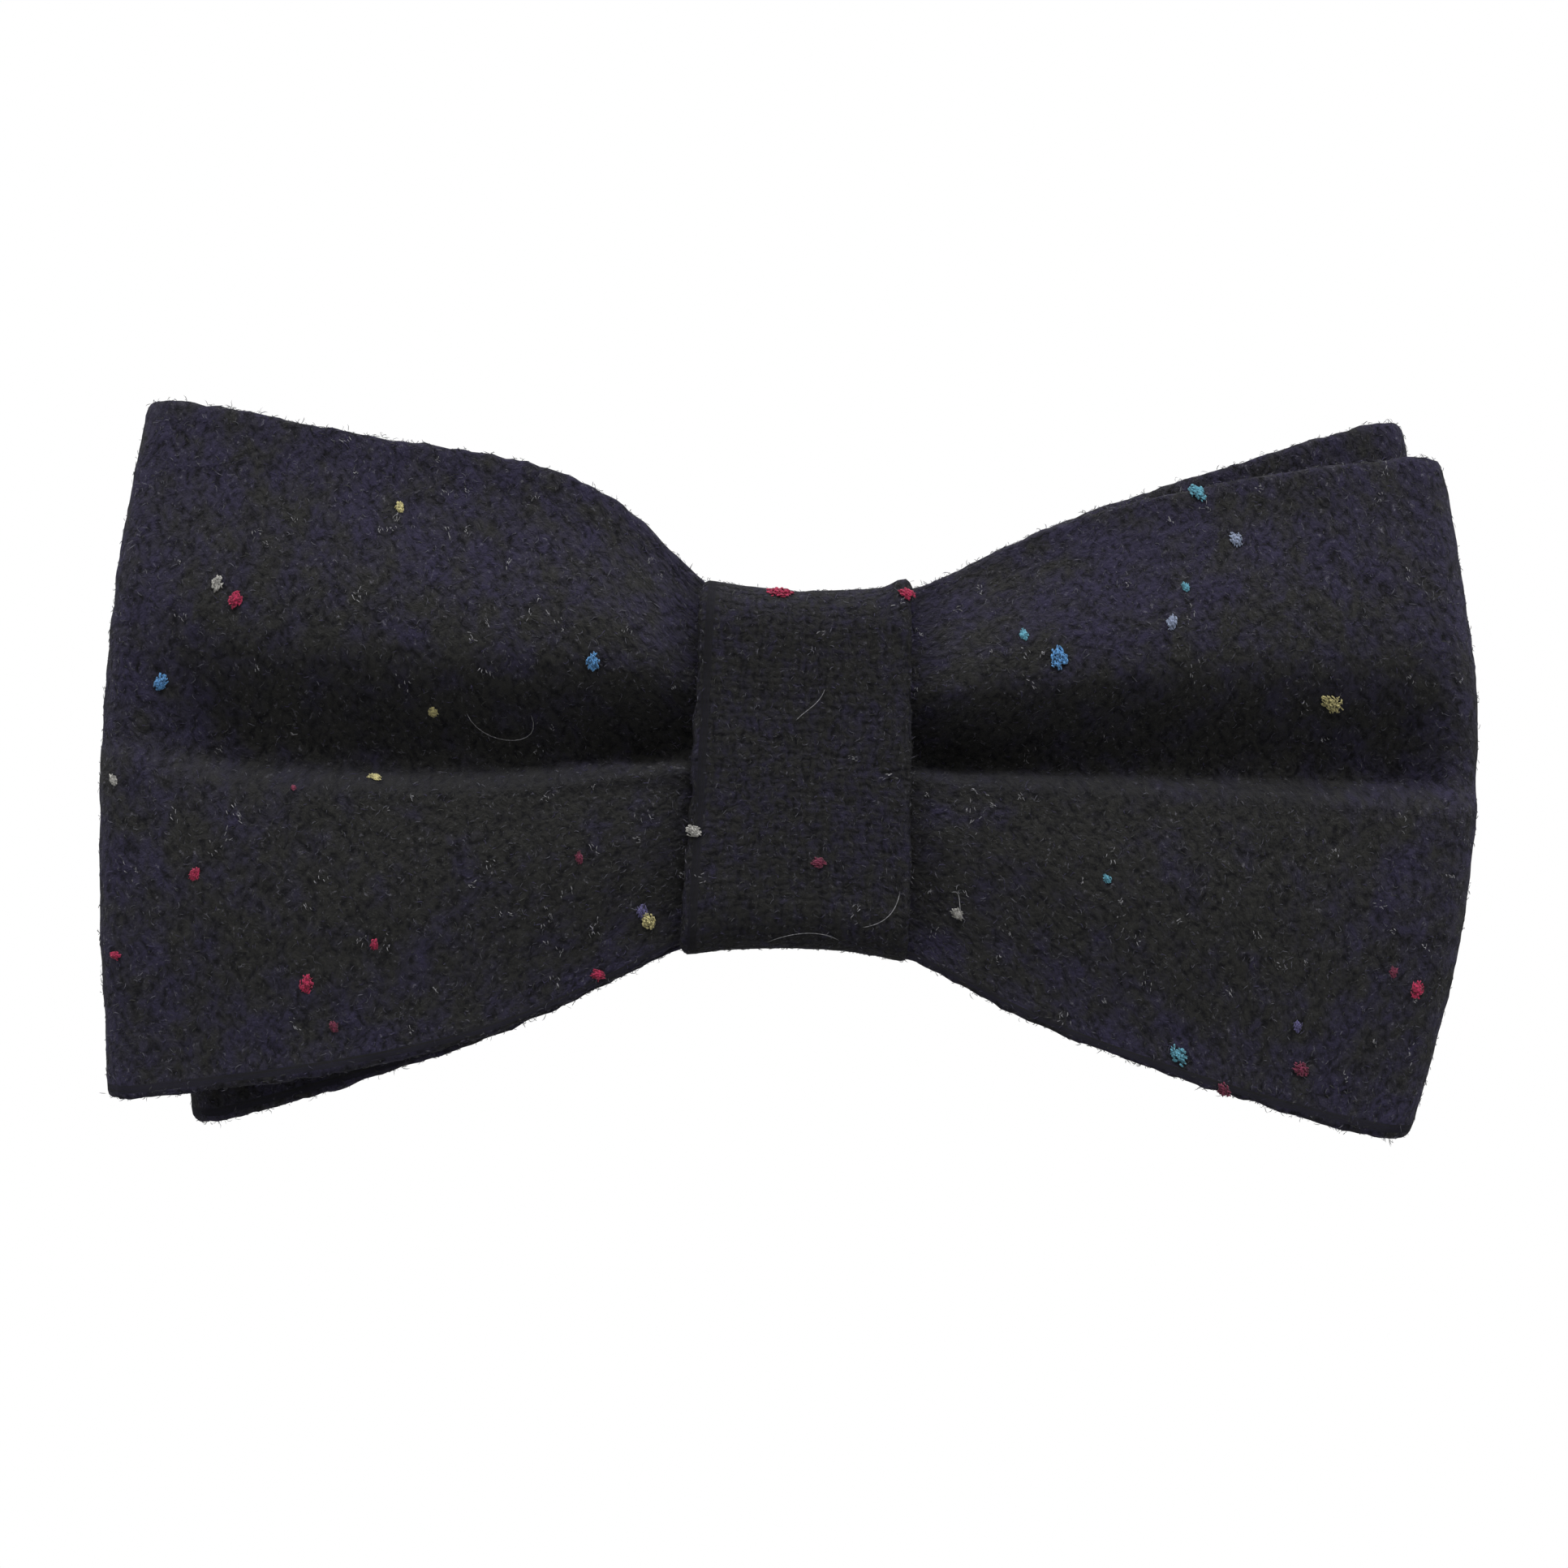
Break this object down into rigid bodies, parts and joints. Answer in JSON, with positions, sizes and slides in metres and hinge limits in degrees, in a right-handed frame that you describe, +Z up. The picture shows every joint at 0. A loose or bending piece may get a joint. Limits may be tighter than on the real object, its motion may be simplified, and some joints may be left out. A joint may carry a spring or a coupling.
{
  "type": "bow tie",
  "caption": "Pre-tied clip-on bow tie in wool tweed: layered pleated bows, a knot band, and a hinged sprung steel clip on the back that grips the collar.",
  "frame": {"origin": "middle of the clip's fixed jaw, on the back face that lies against the collar, behind the knot", "axes": "+X along the wings to the right as the front is seen, +Y out of the back towards the wearer, +Z up"},
  "size_m": [0.1207, 0.032, 0.0648],
  "materials": {
    "tweed": "felted navy and charcoal wool tweed with coloured flecks",
    "interlining": "charcoal woven canvas",
    "thread": "dark sewing thread",
    "steel": "satin nickel-plated steel"
  },
  "bodies": {
    "bow": {"front_bow_shell": "tweed", "front_bow_interlining": "interlining", "rear_bow_shell": "tweed", "rear_bow_interlining": "interlining", "waist_binding": "thread", "knot_wrap": "tweed", "knot_interlining": "interlining", "knot_seam_thread": "thread", "clip_stitch_left": "thread", "clip_stitch_right": "thread", "clip_base_jaw": "steel", "clip_hinge_pin": "steel", "clip_spring": "steel"},
    "clip_lever": {"clip_lever_jaw": "steel"}
  },
  "joints": [
    {"name": "clip_hinge", "type": "hinge", "parent": "bow", "child": "clip_lever", "pos_m": [-0.011, 0.004, 0], "axis": [0, 0, 1], "range_deg": [0, 28], "stiffness_Nm_per_rad": 0.1, "springref_deg": -20.05, "deforming": ["clip_spring"]}
  ]
}
